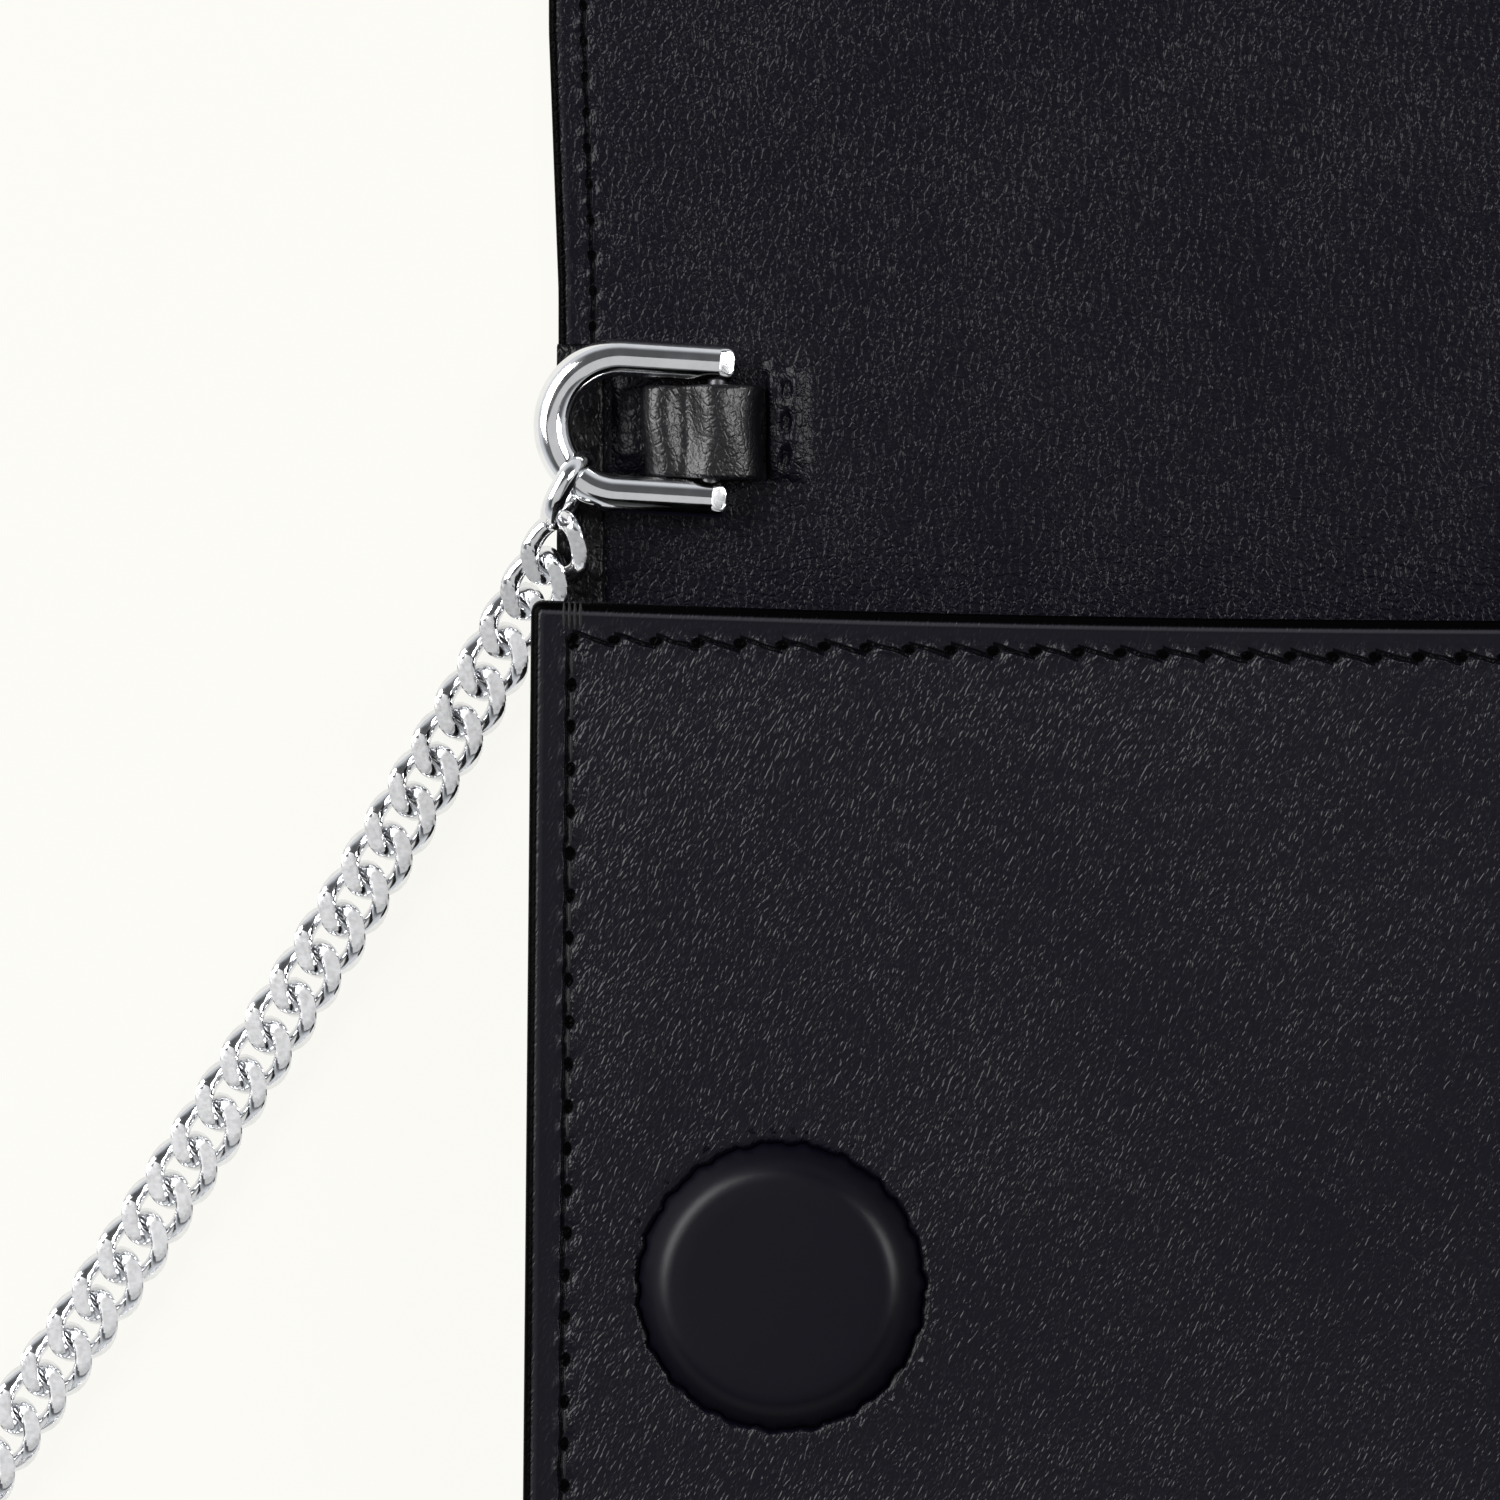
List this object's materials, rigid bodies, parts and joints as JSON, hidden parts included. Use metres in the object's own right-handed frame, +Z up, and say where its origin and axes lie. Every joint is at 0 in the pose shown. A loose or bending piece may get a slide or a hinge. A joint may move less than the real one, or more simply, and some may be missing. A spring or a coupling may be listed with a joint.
{
  "type": "chain wallet",
  "caption": "Long black leather flap wallet with a gusseted pocket, magnetic snaps under stitched leather rounds, and a curb-chain strap on horseshoe rings.",
  "frame": {"origin": "centre of the open wallet's footprint, chain left out, on the surface it lies on", "axes": "+X along the wallet from the ring with the coiled chain to the other ring, +Y from the pocket's bottom edge to the flap's tip, +Z up from the surface"},
  "size_m": [0.3007, 0.3161, 0.0246],
  "materials": {
    "outer_leather": "satin, fine grain",
    "cover_leather": "satin, smooth",
    "lining_leather": "satin, pebbled",
    "board": "matt fibre board",
    "magnet_metal": "plated",
    "ring_metal": "polished",
    "chain_metal": "polished, with ground flats"
  },
  "bodies": {
    "pocket": {"back_outer": "outer_leather", "back_board": "board", "back_lining": "lining_leather", "bottom_outer": "outer_leather", "bottom_lining": "lining_leather", "gusset_left": "outer_leather", "gusset_right": "outer_leather", "divider": "lining_leather", "card_slot_left_back": "lining_leather", "card_slot_left_middle": "lining_leather", "card_slot_left_front": "lining_leather", "card_slot_right_back": "lining_leather", "card_slot_right_middle": "lining_leather", "card_slot_right_front": "lining_leather", "strap_left": "outer_leather", "strap_right": "outer_leather", "strap_patch_left": "outer_leather", "strap_patch_right": "outer_leather", "chain_left_run": "chain_metal", "chain_coil": "chain_metal", "chain_right_run": "chain_metal"},
    "front": {"front_outer": "outer_leather", "front_board": "board", "front_lining": "lining_leather", "magnet_left": "magnet_metal", "magnet_right": "magnet_metal", "magnet_cover_left": "cover_leather", "magnet_cover_right": "cover_leather"},
    "spine": {"spine_outer": "outer_leather", "spine_lining": "lining_leather"},
    "flap": {"flap_outer": "outer_leather", "flap_board": "board", "flap_lining": "lining_leather", "flap_magnet_left": "magnet_metal", "flap_magnet_right": "magnet_metal", "flap_cover_left": "cover_leather", "flap_cover_right": "cover_leather"},
    "left_ring": {"ring_left": "ring_metal", "ring_bar_left": "ring_metal", "end_link_left": "chain_metal"},
    "right_ring": {"ring_right": "ring_metal", "ring_bar_right": "ring_metal", "end_link_right": "chain_metal"}
  },
  "joints": [
    {"name": "spine_fold", "type": "hinge", "parent": "pocket", "child": "spine", "pos_m": [0, -0.005, 0.0022], "axis": [1, 0, 0], "range_deg": [0, 90]},
    {"name": "flap_fold", "type": "hinge", "parent": "spine", "child": "flap", "pos_m": [0, 0.019, 0.0022], "axis": [1, 0, 0], "range_deg": [0, 90]},
    {"name": "pocket_squeeze", "type": "hinge", "parent": "pocket", "child": "front", "pos_m": [0, -0.121, 0.0198], "axis": [1, 0, 0], "range_deg": [-5, 0], "deforming": ["gusset_left", "gusset_right"]},
    {"name": "left_ring_swing", "type": "hinge", "parent": "pocket", "child": "left_ring", "pos_m": [-0.0824, -0.0185, 0.00475], "axis": [0.0785, 0.9969, 0], "range_deg": [0, 90]},
    {"name": "right_ring_swing", "type": "hinge", "parent": "pocket", "child": "right_ring", "pos_m": [0.0824, -0.0185, 0.00475], "axis": [0.0785, -0.9969, 0], "range_deg": [0, 90]}
  ],
  "couplings": [
    {"joint": "flap_fold", "follows": "spine_fold", "ratio": 1}
  ]
}
